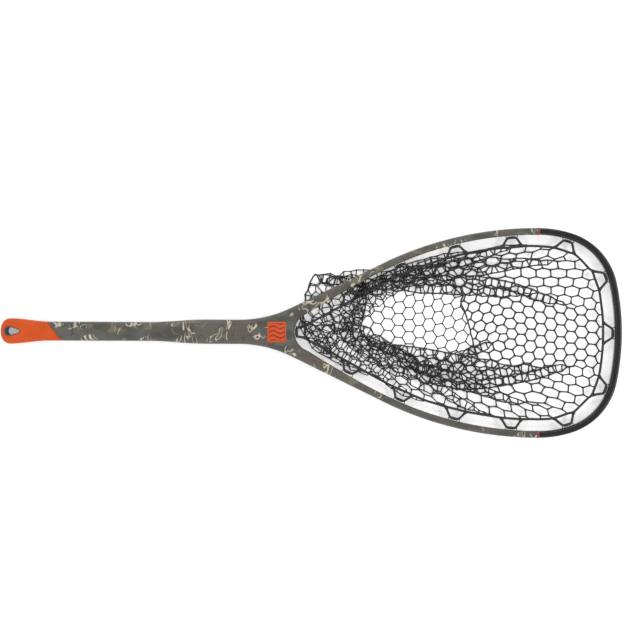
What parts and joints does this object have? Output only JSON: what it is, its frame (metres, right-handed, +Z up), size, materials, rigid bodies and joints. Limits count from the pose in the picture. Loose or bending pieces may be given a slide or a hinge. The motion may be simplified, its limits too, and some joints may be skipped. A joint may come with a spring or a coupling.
{
  "type": "landing net",
  "caption": "Mid-length hand landing net: moulded handle flaring into a teardrop hoop, with a soft hexagonal rubber mesh bag hung inside the hoop.",
  "frame": {"origin": "on the table, under the middle of the outline", "axes": "+X along the handle to the tip of the hoop, +Y across the hoop, +Z up"},
  "size_m": [0.9402, 0.3188, 0.024],
  "materials": {
    "camo_composite": "satin film over moulded composite",
    "core_foam": "closed-cell foam",
    "orange_elastomer": "matte",
    "liner_rubber": "matte",
    "orange_badge": "satin",
    "black_composite": "gloss",
    "spigot_alloy": "mill",
    "red_band": "satin tape",
    "lacing": "braided",
    "net_rubber": "satin"
  },
  "bodies": {
    "root": {"handle_shell": "camo_composite", "foam_core": "core_foam", "butt_cap": "orange_elastomer", "lanyard_liner": "liner_rubber", "yoke": "camo_composite", "badge": "orange_badge", "arm_left": "camo_composite", "arm_right": "camo_composite", "side_rail_left": "camo_composite", "side_rail_right": "camo_composite", "front_bow": "black_composite", "splice_spigot_left": "spigot_alloy", "splice_spigot_right": "spigot_alloy", "splice_band_left": "red_band", "splice_band_right": "red_band", "lacing_cord": "lacing", "lacing_stitches": "lacing", "net_loops": "net_rubber", "net_rim": "net_rubber", "net_wall": "net_rubber", "net_floor": "net_rubber", "net_seam": "net_rubber", "net_folds_upper": "net_rubber", "net_folds_lower": "net_rubber", "net_side_lobe": "net_rubber"}
  },
  "joints": []
}
